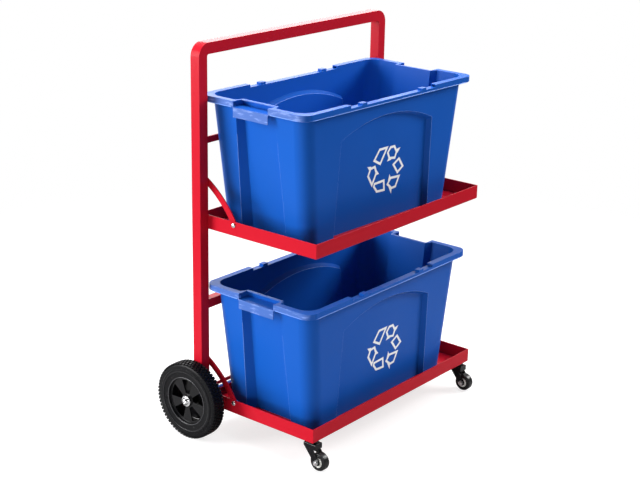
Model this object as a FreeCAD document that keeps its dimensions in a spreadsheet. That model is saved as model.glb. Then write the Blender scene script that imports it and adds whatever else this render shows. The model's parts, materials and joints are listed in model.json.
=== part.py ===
# Two-deck recycling cart: a bent square-tube handle frame carries two folded
# sheet-steel trays, each tray holds a lift-out recycling box, and the cart
# rolls on two large rear wheels and two stem casters at the front corners.
#
# Millimetres.  +Z up, X across the cart, the handle stands at +Y and the
# casters are at -Y.  The origin is on the floor under the middle of the
# cart's overall box.  Sub-parts are drawn from the front face of the
# uprights (y = 0 there) and their Placement carries them to that origin.

import FreeCAD, Part
import Sketcher
import math
import os

V = FreeCAD.Vector

# --------------------------------------------------------------------------
# Driving dimensions
# --------------------------------------------------------------------------
SIZES = [
    # handle frame
    ("tube_w", 30.0, "square tube of the handle frame"),
    ("tube_wall", 2.0, "wall of the handle frame tube"),
    ("push_gap", 139.7, "top of the push bar above the upper box"),
    ("bend_r", 36.0, "outer radius of the two top bends"),
    ("upper_bar_h", 18.0, "upper crossbar height, flat bar"),
    ("upper_bar_t", 6.0, "upper crossbar thickness"),
    ("upper_bar_drop", 122.3, "upper crossbar centre below the upper box rim"),
    ("lower_bar_w", 25.0, "lower crossbar, square tube"),
    ("lower_bar_drop", 61.8, "lower crossbar centre below the lower box rim"),
    ("bar_wall", 1.6, "wall of the lower crossbar"),
    # trays
    ("box_side_gap", 6.5, "box rim to upright, each side"),
    ("box_front_gap", 35.0, "upper box rim back from the tray's front"),
    ("box_head_gap", 150.3, "lower box rim to the upper tray"),
    ("flange_rise", 40.0, "height of the tray flanges"),
    ("sheet_t", 2.5, "tray sheet thickness"),
    ("fold_r", 4.0, "outer radius of the tray folds"),
    # braces
    ("brace_w", 18.0, "brace bar width"),
    ("brace_t", 3.0, "brace bar thickness"),
    ("brace_arc", 300.0, "bend radius of the brace centre line"),
    ("brace_reach", 90.0, "brace bolt ahead of the uprights"),
    ("brace_climb", 103.0, "brace top end above its bolt"),
    ("brace_lap", 12.0, "brace top end past the upright's front face"),
    ("brace_drop", 9.5, "brace bolt below the flange top"),
    ("bolt_d", 8.0, "brace bolt shank"),
    ("bolt_head_d", 17.0, "brace bolt domed head"),
    ("bolt_head_rise", 4.6, "brace bolt head height"),
    ("nut_af", 13.0, "brace nut across flats"),
    ("nut_h", 6.5, "brace nut height"),
    ("bolt_clear", 0.3, "bolt in its hole, on the radius"),
    # rear axle and wheels
    ("axle_d", 12.7, "rear axle rod"),
    ("axle_back", 20.0, "axle behind the uprights' front face"),
    ("axle_over_end", 27.9, "axle above the lower ends of the uprights"),
    ("axle_clear", 0.15, "axle in its holes, on the radius"),
    ("wheel_d", 217.0, "rear wheel diameter"),
    ("tyre_w", 43.0, "tyre width"),
    ("tyre_gap", 2.0, "tyre to upright"),
    ("tyre_seat_d", 135.0, "tyre bore on the hub"),
    ("side_ring_in", 20.0, "raised ring on the tyre wall, in from the tread"),
    ("lug_count", 20.0, "tread lugs in each row"),
    ("lug_deep", 4.5, "tread groove depth"),
    ("lug_slot", 8.0, "tread groove width"),
    ("rim_wall", 3.5, "hub rim thickness"),
    ("rim_recess", 9.0, "hub face below the tyre wall"),
    ("web_t", 4.0, "hub spoke web thickness"),
    ("boss_d", 34.0, "hub boss"),
    ("spoke_count", 5.0, "hub spokes"),
    ("window_in", 20.0, "hub windows start at this radius"),
    ("window_half_in", 6.5, "half width of a window at the boss"),
    ("window_half_out", 19.5, "half width of a window at the rim"),
    ("bush_d", 18.0, "hub bush outside diameter"),
    ("bush_clear", 0.05, "bush on axle, on the radius"),
    ("washer_t", 1.5, "axle washer thickness"),
    ("washer_d", 30.0, "axle washer diameter"),
    ("end_float", 0.1, "hub to washer, each side"),
    ("cap_d", 24.0, "axle push cap diameter"),
    ("cap_rise", 8.0, "axle push cap height"),
    # front casters
    ("caster_in_x", 23.5, "caster stem in from the tray side"),
    ("caster_in_y", 21.3, "caster stem in from the tray front"),
    ("caster_trail", 27.0, "caster wheel centre ahead of its stem"),
    ("caster_d", 50.0, "caster wheel diameter"),
    ("caster_w", 22.0, "caster tread width"),
    ("fork_clear", 20.8, "fork plate above the caster wheel"),
    ("core_d", 37.0, "caster wheel core diameter"),
    ("core_hub", 23.4, "caster core length on its bolt"),
    ("fork_gap", 24.0, "inside width of the caster fork"),
    ("fork_t", 2.5, "caster fork plate"),
    ("fork_back", 18.0, "fork plate behind the stem"),
    ("fork_front", 22.0, "fork box ahead of the stem"),
    ("fork_box", 16.0, "depth of the fork box"),
    ("fork_end_r", 9.5, "round end of the fork cheeks"),
    ("race_rise", 7.0, "height of the swivel race"),
    ("race_d", 34.0, "swivel race diameter"),
    ("race_gap", 0.3, "swivel race to fork"),
    ("ball_d", 3.6, "ball ring section"),
    ("ball_ring_d", 22.0, "ball ring centre diameter"),
    ("stem_d", 10.0, "caster stem"),
    ("stem_clear", 0.05, "stem in the fork, on the radius"),
    ("stem_head_d", 17.0, "stem rivet head"),
    ("stem_head_t", 3.0, "stem rivet head thickness"),
    ("stem_nut_af", 17.0, "stem nut across flats"),
    ("stem_nut_h", 8.0, "stem nut height"),
    ("pin_d", 8.0, "caster wheel bolt"),
    ("pin_clear", 0.05, "caster core on its bolt, on the radius"),
    # boxes
    ("bin_l", 682.0, "box length under the rim"),
    ("bin_w", 338.0, "box width under the rim"),
    ("bin_h", 354.0, "box height"),
    ("end_draft", 6.4, "draft of the box ends, degrees"),
    ("side_draft", 2.5, "draft of the box long sides, degrees"),
    ("bin_wall", 3.0, "box wall thickness"),
    ("bin_corner", 42.0, "box corner radius"),
    ("rim_out", 15.0, "rim overhang"),
    ("rim_corner", 30.0, "outer corner radius of the rim"),
    ("rim_t", 2.6, "rim thickness"),
    ("skirt_h", 15.5, "rim skirt height"),
    ("dip_half", 180.0, "half length of the lowered long rim"),
    ("dip_h", 7.5, "how far the long rim is lowered"),
    ("tab_x", 126.0, "stacking tabs from the middle"),
    ("tab_l", 20.0, "stacking tab length"),
    ("tab_h", 6.0, "stacking tab height"),
    ("arch_half_top", 193.0, "arch panel half width at its shoulder"),
    ("arch_half_foot", 203.0, "arch panel half width at the base"),
    ("arch_peak", 53.0, "arch crown below the rim"),
    ("arch_r", 470.0, "arch crown radius"),
    ("arch_deep", 13.0, "arch panel recess"),
    ("arch_run", 9.0, "slope of the arch panel step"),
    ("end_half_top", 66.0, "hand recess half width at the rim"),
    ("end_half_foot", 80.0, "hand recess half width at the base"),
    ("end_floor_half", 59.0, "half width of the recess's own face"),
    ("end_deep", 22.0, "depth of the hand recess"),
    ("grip_half", 60.0, "handle half width"),
    ("grip_drop", 15.5, "handle ledge below the rim top"),
    ("grip_h", 26.0, "handle lip height"),
    ("rail_out", 5.0, "rail at the top of the end panel"),
    ("upper_box_back", 34.0, "upper box rim past the uprights' front face"),
    ("lower_box_back", 8.0, "lower box rim past the uprights' front face"),
    ("lower_box_left", 15.0, "lower box left of the middle"),
    ("upper_box_turn", 1.5, "upper box turned in its tray, degrees"),
    ("bin_lift", 0.2, "box base above the tray sheet"),
]

doc = FreeCAD.newDocument("RecyclingCart")
sheet = doc.addObject("Spreadsheet::Sheet", "Sizes")
for row, (alias, value, note) in enumerate(SIZES, start=1):
    sheet.set("A%d" % row, note)
    sheet.set("B%d" % row, repr(value))
    sheet.setAlias("B%d" % row, alias)
doc.recompute()


class Dim:
    """A length with the sheet expression that gives it."""

    def __init__(self, val, txt):
        self.val = float(val)
        self.txt = txt

    def __add__(self, o):
        o = dim(o)
        return Dim(self.val + o.val, "(%s + %s)" % (self.txt, o.txt))

    def __sub__(self, o):
        o = dim(o)
        return Dim(self.val - o.val, "(%s - %s)" % (self.txt, o.txt))

    def __mul__(self, o):
        o = dim(o)
        return Dim(self.val * o.val, "(%s * %s)" % (self.txt, o.txt))

    def __truediv__(self, o):
        o = dim(o)
        return Dim(self.val / o.val, "(%s / %s)" % (self.txt, o.txt))

    def __radd__(self, o):
        return dim(o) + self

    def __rsub__(self, o):
        return dim(o) - self

    def __rmul__(self, o):
        return dim(o) * self

    def __neg__(self):
        return Dim(-self.val, "(0 - %s)" % self.txt)


def dim(x):
    return x if isinstance(x, Dim) else Dim(x, repr(float(x)))


def root(x):
    return Dim(math.sqrt(x.val), "sqrt(%s)" % x.txt)


def sine(x):
    return Dim(math.sin(math.radians(x.val)), "sin(%s * 1 deg)" % x.txt)


def tangent(x):
    return Dim(math.tan(math.radians(x.val)), "tan(%s * 1 deg)" % x.txt)


def cosine(x):
    return Dim(math.cos(math.radians(x.val)), "cos(%s * 1 deg)" % x.txt)


S = {alias: Dim(sheet.get(alias), "Sizes." + alias) for alias, _, _ in SIZES}

# places that several pieces share
box_depth = S["bin_w"] + 2 * S["rim_out"]
in_x = S["bin_l"] / 2 + S["rim_out"] + S["box_side_gap"]   # inner face of the uprights
out_x = in_x + S["tube_w"]                                 # outer face of the uprights
upper_box_y = S["upper_box_back"] - box_depth / 2
lower_box_y = S["lower_box_back"] - box_depth / 2
tray_back = S["tube_w"]
tray_front = S["upper_box_back"] - box_depth - S["box_front_gap"]
deck_z = S["caster_d"] + S["fork_clear"] + S["fork_t"] + S["race_gap"] + S["race_rise"]
box_step = S["sheet_t"] + S["bin_lift"] + S["bin_h"]       # tray underside to box rim
deck_pitch = box_step + S["box_head_gap"]
upper_deck_z = deck_z + deck_pitch
frame_top = upper_deck_z + box_step + S["push_gap"]
axle_z = S["wheel_d"] / 2
stem_x = in_x - S["caster_in_x"]
stem_y = tray_front + S["caster_in_y"]
foot_z = axle_z - S["axle_over_end"]                     # lower ends of the uprights
bolt_low_z = deck_z + S["flange_rise"] - S["brace_drop"]
# the overall box runs from the caster wheels to the back of the rear tyres
shift_y = ((S["caster_trail"] + S["caster_d"] / 2 - stem_y) - (S["axle_back"] + S["wheel_d"] / 2)) / 2

nodes = []


# --------------------------------------------------------------------------
# Drawing helpers
# --------------------------------------------------------------------------
def bind(obj, prop, value):
    """Tie one property to the sheet."""
    value = dim(value)
    if not prop.startswith("."):
        setattr(obj, prop, value.val)
    obj.setExpression(prop, value.txt)


def place(obj, x=0, y=0, z=0, turn=0):
    """Put a finished sub-part in the cart."""
    x, y, z = dim(x), dim(y) + shift_y, dim(z)
    obj.Placement = FreeCAD.Placement(V(x.val, y.val, z.val), FreeCAD.Rotation(V(0, 0, 1), turn))
    for axis, value in (("x", x), ("y", y), ("z", z)):
        obj.setExpression(".Placement.Base." + axis, value.txt)


def new_body(label):
    body = doc.addObject("PartDesign::Body", label)
    body.Label = label
    return body


def origin_part(body, role):
    return [f for f in body.Origin.OriginFeatures if f.Role == role][0]


def sketch(body, plane, x=0, y=0, z=0, tilt=None):
    """Sketch on an origin plane, moved by x, y, z in the plane's own axes."""
    sk = body.newObject("Sketcher::SketchObject", body.Label + "_sketch")
    sk.AttachmentSupport = [(origin_part(body, plane), "")]
    sk.MapMode = "FlatFace"
    x, y, z = dim(x), dim(y), dim(z)
    angle = tilt.val if tilt is not None else 0
    sk.AttachmentOffset = FreeCAD.Placement(V(x.val, y.val, z.val), FreeCAD.Rotation(V(1, 0, 0), angle))
    for axis, value in (("x", x), ("y", y), ("z", z)):
        if value.val:
            sk.setExpression(".AttachmentOffset.Base." + axis, value.txt)
    if tilt is not None:
        sk.setExpression(".AttachmentOffset.Rotation.Angle", tilt.txt + " * 1 deg")
    return sk


def fix(sk, kind, *args):
    """Add one dimension and tie it to the sheet."""
    value = dim(args[-1])
    i = sk.addConstraint(Sketcher.Constraint(kind, *args[:-1], value.val))
    sk.setExpression("Constraints[%d]" % i, value.txt)


def pin(sk, geo, pos, x, y):
    fix(sk, "DistanceX", -1, 1, geo, pos, x)
    fix(sk, "DistanceY", -1, 1, geo, pos, y)


def outline(sk, points, bends=None, closed=True):
    """Chain of straight edges through points; bends = {edge: (radius, turn)}
    makes an edge an arc, turn +1 for a counter-clockwise one."""
    bends = bends or {}
    points = [(dim(a), dim(b)) for a, b in points]
    count = len(points) if closed else len(points) - 1
    ends = []
    for i in range(count):
        a, b = points[i], points[(i + 1) % len(points)]
        p, q = V(a[0].val, a[1].val, 0), V(b[0].val, b[1].val, 0)
        if i in bends:
            radius, turn = dim(bends[i][0]), bends[i][1]
            half = (q - p).Length / 2
            across = V(-(q - p).y, (q - p).x, 0).normalize()
            rise = math.sqrt(max(radius.val ** 2 - half ** 2, 0.0))
            mid = (p + q) * 0.5 + across * (rise * turn)
            first, last = (p, q) if turn > 0 else (q, p)
            a0 = math.atan2(first.y - mid.y, first.x - mid.x)
            a1 = math.atan2(last.y - mid.y, last.x - mid.x)
            if a1 <= a0:
                a1 += 2 * math.pi
            circle = Part.Circle(mid, V(0, 0, 1), radius.val)
            geo = sk.addGeometry(Part.ArcOfCircle(circle, a0, a1), False)
            ends.append((geo, 1, 2) if turn > 0 else (geo, 2, 1))
            fix(sk, "Radius", geo, radius)
        else:
            geo = sk.addGeometry(Part.LineSegment(p, q), False)
            ends.append((geo, 1, 2))
        pin(sk, ends[-1][0], ends[-1][1], a[0], a[1])
    for i in range(count if closed else count - 1):
        g, _, e = ends[i]
        h, s, _ = ends[(i + 1) % count]
        sk.addConstraint(Sketcher.Constraint("Coincident", g, e, h, s))
    if not closed:
        pin(sk, ends[-1][0], ends[-1][2], *points[-1])
    return sk


def rectangle(sk, x0, x1, y0, y1):
    return outline(sk, [(x0, y0), (x1, y0), (x1, y1), (x0, y1)])


def rounded(sk, half_x, half_y, r):
    """Rectangle about the origin with rounded corners."""
    half_x, half_y, r = dim(half_x), dim(half_y), dim(r)
    cx, cy = half_x - r, half_y - r
    points = [(-cx, -half_y), (cx, -half_y), (half_x, -cy), (half_x, cy),
              (cx, half_y), (-cx, half_y), (-half_x, cy), (-half_x, -cy)]
    return outline(sk, points, {1: (r, 1), 3: (r, 1), 5: (r, 1), 7: (r, 1)})


def circle(sk, x, y, r):
    x, y, r = dim(x), dim(y), dim(r)
    geo = sk.addGeometry(Part.Circle(V(x.val, y.val, 0), V(0, 0, 1), r.val), False)
    pin(sk, geo, 3, x, y)
    fix(sk, "Radius", geo, r)
    return sk


def finish(body, feature):
    body.Tip = feature
    doc.recompute()
    if feature.Shape.isNull() or not feature.Shape.isValid():
        raise RuntimeError("%s: %s made no valid shape" % (body.Label, feature.Name))
    return feature


def pad(body, sk, length, symmetric=False, back=False):
    f = body.newObject("PartDesign::Pad", body.Label + "_pad")
    f.Profile = sk
    f.SideType = "Symmetric" if symmetric else "One side"
    f.Reversed = back
    bind(f, "Length", length)
    return finish(body, f)


def pocket(body, sk, length, symmetric=False, back=False):
    before = body.Shape.Volume
    f = body.newObject("PartDesign::Pocket", body.Label + "_pocket")
    f.Profile = sk
    f.SideType = "Symmetric" if symmetric else "One side"
    f.Reversed = back
    bind(f, "Length", length)
    finish(body, f)
    if f.Shape.Volume > before - 1e-3:
        raise RuntimeError("%s: a pocket removed nothing" % body.Label)
    return f


def revolve(body, sk, axis):
    f = body.newObject("PartDesign::Revolution", body.Label + "_turned")
    f.Profile = sk
    f.ReferenceAxis = (sk, [axis])
    f.Angle = 360
    return finish(body, f)


def loft(body, kind, first, others):
    f = body.newObject("PartDesign::" + kind, body.Label + "_loft")
    f.Profile = first
    f.Sections = others
    f.Ruled = True
    return finish(body, f)


def around(body, features, axis, count):
    f = body.newObject("PartDesign::PolarPattern", body.Label + "_ring")
    f.Originals = features
    f.Axis = (origin_part(body, axis), [""])
    f.Angle = 360
    f.setExpression("Occurrences", count.txt)
    f.Occurrences = int(count.val)
    return finish(body, f)


def mirrored(body, features, plane):
    f = body.newObject("PartDesign::Mirrored", body.Label + "_mirror")
    f.Originals = features
    f.MirrorPlane = (origin_part(body, plane), [""])
    return finish(body, f)


def fillet(body, base, radius, chosen):
    """Round the edges of base for which chosen(edge) holds."""
    names = ["Edge%d" % (i + 1) for i, e in enumerate(base.Shape.Edges) if chosen(e)]
    if not names:
        raise RuntimeError("%s: no edge to round" % body.Label)
    f = body.newObject("PartDesign::Fillet", body.Label + "_fillet")
    f.Base = (base, names)
    bind(f, "Radius", radius)
    return finish(body, f)


def turned_x(label, profiles, y=0, z=0):
    """Solid turned about an axis along X through (y, z); profiles are (x, r)."""
    body = new_body(label)
    sk = sketch(body, "XY_Plane", 0, y, z)
    for p in profiles:
        outline(sk, p)
    revolve(body, sk, "H_Axis")
    return body


def turned_z(label, profile, bends=None):
    """Solid turned about the Z axis; the profile is (r, z)."""
    body = new_body(label)
    sk = sketch(body, "XZ_Plane")
    outline(sk, profile, bends)
    revolve(body, sk, "V_Axis")
    return body


def keep(obj, **where):
    place(obj, **where)
    nodes.append(obj)
    return obj


# --------------------------------------------------------------------------
# Handle frame and crossbars
# --------------------------------------------------------------------------
def make_handle_frame():
    body = new_body("handle_frame")
    mid_x = in_x + S["tube_w"] / 2
    mid_y = S["tube_w"] / 2
    top = frame_top - S["tube_w"] / 2
    bend = S["bend_r"] - S["tube_w"] / 2
    path = sketch(body, "XZ_Plane", z=-mid_y)
    outline(path, [(-mid_x, foot_z), (-mid_x, top - bend), (bend - mid_x, top),
                   (mid_x - bend, top), (mid_x, top - bend), (mid_x, foot_z)],
            {1: (bend, -1), 3: (bend, -1)}, closed=False)
    section = sketch(body, "XY_Plane", -mid_x, mid_y, foot_z)
    half = S["tube_w"] / 2
    rectangle(section, -half, half, -half, half)
    hollow = half - S["tube_wall"]
    rectangle(section, -hollow, hollow, -hollow, hollow)
    pipe = body.newObject("PartDesign::AdditivePipe", "handle_frame_sweep")
    pipe.Profile = section
    pipe.Spine = (path, [])
    finish(body, pipe)
    hole = sketch(body, "YZ_Plane")
    circle(hole, S["axle_back"], axle_z, S["axle_d"] / 2 + S["axle_clear"])
    pocket(body, hole, 2 * out_x + 10, symmetric=True)
    return keep(body)


def make_upper_crossbar():
    """Flat bar behind the upper box, flush with the back of the uprights."""
    body = new_body("upper_crossbar")
    sk = sketch(body, "YZ_Plane", S["tube_w"], upper_deck_z + box_step - S["upper_bar_drop"])
    half = S["upper_bar_h"] / 2
    rectangle(sk, -S["upper_bar_t"], 0, -half, half)
    pad(body, sk, 2 * in_x, symmetric=True)
    return keep(body)


def make_lower_crossbar():
    """Square tube midway in the depth of the uprights."""
    body = new_body("lower_crossbar")
    sk = sketch(body, "YZ_Plane", S["tube_w"] / 2, deck_z + box_step - S["lower_bar_drop"])
    half = S["lower_bar_w"] / 2
    hollow = half - S["bar_wall"]
    rectangle(sk, -half, half, -half, half)
    rectangle(sk, -hollow, hollow, -hollow, hollow)
    pad(body, sk, 2 * in_x, symmetric=True)
    return keep(body)


def make_tube_plugs():
    """Moulded plugs in the open lower ends of the uprights."""
    body = new_body("upright_plugs")
    body.AllowCompound = True
    mid_x = in_x + S["tube_w"] / 2
    half = S["tube_w"] / 2
    head = sketch(body, "XY_Plane", 0, half, foot_z)
    for side in (-1, 1):
        rectangle(head, side * mid_x - half, side * mid_x + half, -half, half)
    pad(body, head, 3.0, back=True)
    shank = sketch(body, "XY_Plane", 0, half, foot_z)
    grip = half - S["tube_wall"] - 0.1
    for side in (-1, 1):
        rectangle(shank, side * mid_x - grip, side * mid_x + grip, -grip, grip)
    pad(body, shank, 14.0)
    return keep(body)


# --------------------------------------------------------------------------
# Trays
# --------------------------------------------------------------------------
def make_shelf(label, z, bolt_z, rolling=False):
    body = new_body(label)
    base = sketch(body, "XY_Plane", z=z)
    rectangle(base, -in_x, in_x, tray_front, tray_back)
    block = pad(body, base, S["flange_rise"])
    low = z.val + 1e-3
    fillet(body, block, S["fold_r"], lambda e: e.BoundBox.ZMax < low)
    t = S["sheet_t"]
    inside = sketch(body, "XY_Plane", z=z + S["flange_rise"])
    rectangle(inside, t - in_x, in_x - t, tray_front + t, tray_back - t)
    pocket(body, inside, S["flange_rise"] - t)
    holes = sketch(body, "YZ_Plane")
    circle(holes, -S["brace_reach"], bolt_z, S["bolt_d"] / 2 + S["bolt_clear"])
    if rolling:
        circle(holes, S["axle_back"], axle_z, S["axle_d"] / 2 + S["axle_clear"])
    pocket(body, holes, 2 * in_x + 10, symmetric=True)
    if rolling:
        stems = sketch(body, "XY_Plane", z=z + t + 1)
        for side in (-1, 1):
            circle(stems, side * stem_x, stem_y, S["stem_d"] / 2 + S["bolt_clear"])
        pocket(body, stems, t + 2)
    return keep(body)


# --------------------------------------------------------------------------
# Braces: curved flat bars from the uprights to the tray sides
# --------------------------------------------------------------------------
def make_brace(label, side, bolt_z):
    body = new_body(label)
    t, half = S["brace_t"], S["brace_w"] / 2
    near = in_x - S["sheet_t"]
    sk = sketch(body, "YZ_Plane", z=-near if side < 0 else near - t)
    top = (S["brace_lap"], bolt_z + S["brace_climb"])
    foot = (-S["brace_reach"], bolt_z)
    # the centre line is one arc, bowed up and forward
    p, q = V(top[0].val, top[1].val, 0), V(foot[0].val, foot[1].val, 0)
    r = S["brace_arc"].val
    chord = q - p
    n = V(chord.y, -chord.x, 0).normalize()
    c = (p + q) * 0.5 - n * math.sqrt(r * r - (chord.Length / 2) ** 2)
    a0 = math.atan2(p.y - c.y, p.x - c.x)
    a1 = math.atan2(q.y - c.y, q.x - c.x)

    def arc(mid, radius, start, end):
        return sk.addGeometry(Part.ArcOfCircle(Part.Circle(mid, V(0, 0, 1), radius), start, end), False)

    line = arc(c, r, a0, a1)
    sk.setConstruction(line, True)
    outer, inner = arc(c, r + half.val, a0, a1), arc(c, r - half.val, a0, a1)
    pin(sk, line, 1, *top)
    pin(sk, line, 2, *foot)
    fix(sk, "Radius", line, S["brace_arc"])
    for geo, radius in ((outer, S["brace_arc"] + half), (inner, S["brace_arc"] - half)):
        sk.addConstraint(Sketcher.Constraint("Coincident", geo, 3, line, 3))
        fix(sk, "Radius", geo, radius)
    for mid, angle, pos in ((p, a0, 1), (q, a1, 2)):
        out = V(math.cos(angle), math.sin(angle), 0) * half.val
        edge = sk.addGeometry(Part.LineSegment(mid - out, mid + out), False)
        sk.addConstraint(Sketcher.Constraint("Coincident", edge, 1, inner, pos))
        sk.addConstraint(Sketcher.Constraint("Coincident", edge, 2, outer, pos))
        sk.addConstraint(Sketcher.Constraint("PointOnObject", line, pos, edge))
        sk.addConstraint(Sketcher.Constraint("PointOnObject", line, 3, edge))
    pad(body, sk, t)
    # both ends are rounded
    ends = sketch(body, "YZ_Plane", z=-near if side < 0 else near - t)
    circle(ends, top[0], top[1], half)
    circle(ends, foot[0], foot[1], half)
    pad(body, ends, t)
    # set-off at the top end, welded to the upright's inner face
    seat = sketch(body, "YZ_Plane", z=-in_x if side < 0 else near)
    circle(seat, top[0], top[1], half)
    pad(body, seat, S["sheet_t"])
    hole = sketch(body, "YZ_Plane", z=side * near)
    circle(hole, foot[0], foot[1], S["bolt_d"] / 2 + S["bolt_clear"])
    pocket(body, hole, 4 * t, symmetric=True)
    return keep(body)


def make_brace_bolts():
    """Four round-head bolts, heads outside the tray flanges."""
    body = new_body("brace_bolts")
    body.AllowCompound = True
    sk = sketch(body, "XY_Plane", 0, -S["brace_reach"], bolt_low_z)
    r, head = S["bolt_d"] / 2, S["bolt_head_d"] / 2
    end = in_x - S["sheet_t"] - S["brace_t"] - S["nut_h"] - 2
    rise = S["bolt_head_rise"]
    dome = (head * head + rise * rise) / (2 * rise)
    for side in (-1, 1):
        x = [side * end, side * in_x, side * (in_x + rise)]
        outline(sk, [(x[0], 0), (x[2], 0), (x[1], head), (x[1], r), (x[0], r)], {1: (dome, side)})
    turned = revolve(body, sk, "H_Axis")
    row = body.newObject("PartDesign::LinearPattern", "brace_bolts_row")
    row.Originals = [turned]
    row.Direction = (origin_part(body, "Z_Axis"), [""])
    bind(row, "Length", deck_pitch)
    row.Occurrences = 2
    finish(body, row)
    return keep(body)


def make_brace_nuts():
    body = new_body("brace_nuts")
    body.AllowCompound = True
    made = []
    for side in (-1, 1):
        face = in_x - S["sheet_t"] - S["brace_t"]
        sk = sketch(body, "YZ_Plane", -S["brace_reach"], bolt_low_z, side * face)
        hexagon(sk, S["nut_af"])
        circle(sk, 0, 0, S["bolt_d"] / 2)
        made.append(pad(body, sk, S["nut_h"], back=side > 0))
    row = body.newObject("PartDesign::LinearPattern", "brace_nuts_row")
    row.Originals = made
    row.Direction = (origin_part(body, "Z_Axis"), [""])
    bind(row, "Length", deck_pitch)
    row.Occurrences = 2
    finish(body, row)
    return keep(body)


def hexagon(sk, across_flats):
    """Hexagon about the sketch origin, flats up and down."""
    flat = across_flats / 2
    side = flat * 2 / root(dim(3))
    half = side / 2
    return outline(sk, [(side, 0), (half, flat), (-half, flat), (-side, 0), (-half, -flat), (half, -flat)])


# --------------------------------------------------------------------------
# Rear axle and wheels.  A wheel is drawn with x = 0 on the outer face of
# its upright and x growing away from the cart.
# --------------------------------------------------------------------------
hub_in = S["washer_t"] + S["end_float"]
hub_out = S["tyre_gap"] + S["tyre_w"] - 4
cap_in = hub_out + S["end_float"] + S["washer_t"]


def make_axle():
    end = out_x + cap_in + S["cap_rise"] / 2
    r = S["axle_d"] / 2
    body = turned_x("rear_axle", [[(-end, 0), (end, 0), (end, r - 1), (end - 1, r), (1 - end, r), (-end, r - 1)]],
                    S["axle_back"], axle_z)
    return keep(body)


def make_washers():
    body = new_body("axle_washers")
    body.AllowCompound = True
    sk = sketch(body, "XY_Plane", 0, S["axle_back"], axle_z)
    hole, rim = S["axle_d"] / 2 + S["axle_clear"], S["washer_d"] / 2
    for start in (out_x, out_x + hub_out + S["end_float"]):
        for side in (-1, 1):
            a, b = side * start, side * (start + S["washer_t"])
            outline(sk, [(a, hole), (b, hole), (b, rim), (a, rim)])
    revolve(body, sk, "H_Axis")
    return keep(body)


def make_cap(label, side):
    """Pressed dome that holds a wheel on the axle."""
    r, bore = S["cap_d"] / 2, S["axle_d"] / 2
    a = out_x + cap_in
    b = a + S["cap_rise"] / 2
    c = a + S["cap_rise"]
    dome = (r * r + S["cap_rise"] / 2 * S["cap_rise"] / 2) / S["cap_rise"]
    body = new_body(label)
    sk = sketch(body, "XY_Plane", 0, S["axle_back"], axle_z)
    outline(sk, [(side * a, bore), (side * a, r), (side * b, r), (side * c, 0), (side * b, 0), (side * b, bore)],
            {2: (dome, -side)})
    revolve(body, sk, "H_Axis")
    return keep(body)


def rear_spot(side):
    return dict(x=side * out_x, y=S["axle_back"], z=axle_z, turn=0 if side > 0 else 180)


def make_tyre(label, side):
    body = new_body(label)
    mid = S["tyre_gap"] + S["tyre_w"] / 2
    half = S["tyre_w"] / 2
    seat, crown = S["tyre_seat_d"] / 2, S["wheel_d"] / 2
    ring = crown - S["side_ring_in"]
    edge = [(half - 3, seat), (half - 2.5, ring - 5), (half, ring - 2.5), (half, ring + 2.5),
            (half - 2.5, ring + 5), (half - 2.5, crown)]
    profile = [(mid + u, r) for u, r in edge] + [(mid - u, r) for u, r in reversed(edge)]
    sk = sketch(body, "XY_Plane")
    outline(sk, profile)
    revolve(body, sk, "H_Axis")
    # tread grooves in two staggered rows, with a rib between them
    cuts = []
    slot = S["lug_slot"] / 2
    rib = 2.0
    for row in (-1, 1):
        sk = sketch(body, "XY_Plane", mid, row * math.pi * crown / S["lug_count"] / 2, crown - S["lug_deep"])
        a, b = sorted((row * rib, row * (half.val + 2)))
        rectangle(sk, a, b, -slot, slot)
        cuts.append(pocket(body, sk, S["lug_deep"] + 6, back=True))
    around(body, cuts, "X_Axis", S["lug_count"])
    return keep(body, **rear_spot(side))


def make_hub(label, side):
    """Moulded hub: rim, five-spoke web and boss."""
    body = new_body(label)
    seat, bore, boss = S["tyre_seat_d"] / 2, S["bush_d"] / 2, S["boss_d"] / 2
    rim = seat - S["rim_wall"]
    face = S["tyre_gap"] + S["tyre_w"] - S["rim_recess"]
    back = face - S["web_t"]
    lip_out = S["tyre_gap"] + S["tyre_w"] - 3
    lip_in = S["tyre_gap"] + 3
    sk = sketch(body, "XY_Plane")
    outline(sk, [(hub_in, bore), (hub_out, bore), (hub_out, boss - 3), (face, boss), (face, rim), (lip_out, rim + 1),
                 (lip_out, seat), (lip_in, seat), (lip_in, rim), (back, rim), (back, boss), (hub_in, boss)])
    revolve(body, sk, "H_Axis")
    outer = rim - 5
    reach = root(outer * outer - S["window_half_out"] * S["window_half_out"])
    sk = sketch(body, "YZ_Plane", z=face + 1)
    wi, wo = S["window_half_in"], S["window_half_out"]
    outline(sk, [(-wi, S["window_in"]), (wi, S["window_in"]), (wo, reach), (-wo, reach)], {2: (outer, 1)})
    cut = pocket(body, sk, S["web_t"] + 2)
    around(body, [cut], "X_Axis", S["spoke_count"])
    return keep(body, **rear_spot(side))


def make_bush(label, side):
    bore, rim = S["axle_d"] / 2 + S["bush_clear"], S["bush_d"] / 2
    body = turned_x(label, [[(hub_in, bore), (hub_out, bore), (hub_out, rim), (hub_in, rim)]])
    return keep(body, **rear_spot(side))


# --------------------------------------------------------------------------
# Front casters.  Each is drawn with its stem on the Z axis over the floor.
# --------------------------------------------------------------------------
fork_top = deck_z - S["race_rise"] - S["race_gap"]
fork_half = S["fork_gap"] / 2 + S["fork_t"]
hub_z = S["caster_d"] / 2


def caster_spot(side):
    return dict(x=side * stem_x, y=stem_y)


def make_stem(label, side):
    r, head = S["stem_d"] / 2, S["stem_head_d"] / 2
    under = fork_top - S["fork_t"] - S["race_gap"]
    top = deck_z + S["sheet_t"] + S["stem_nut_h"] + 3
    low = under - S["stem_head_t"]
    body = turned_z(label, [(0, low), (head, low), (head, under), (r, under), (r, top - 1), (r - 1, top), (0, top)])
    return keep(body, **caster_spot(side))


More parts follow.
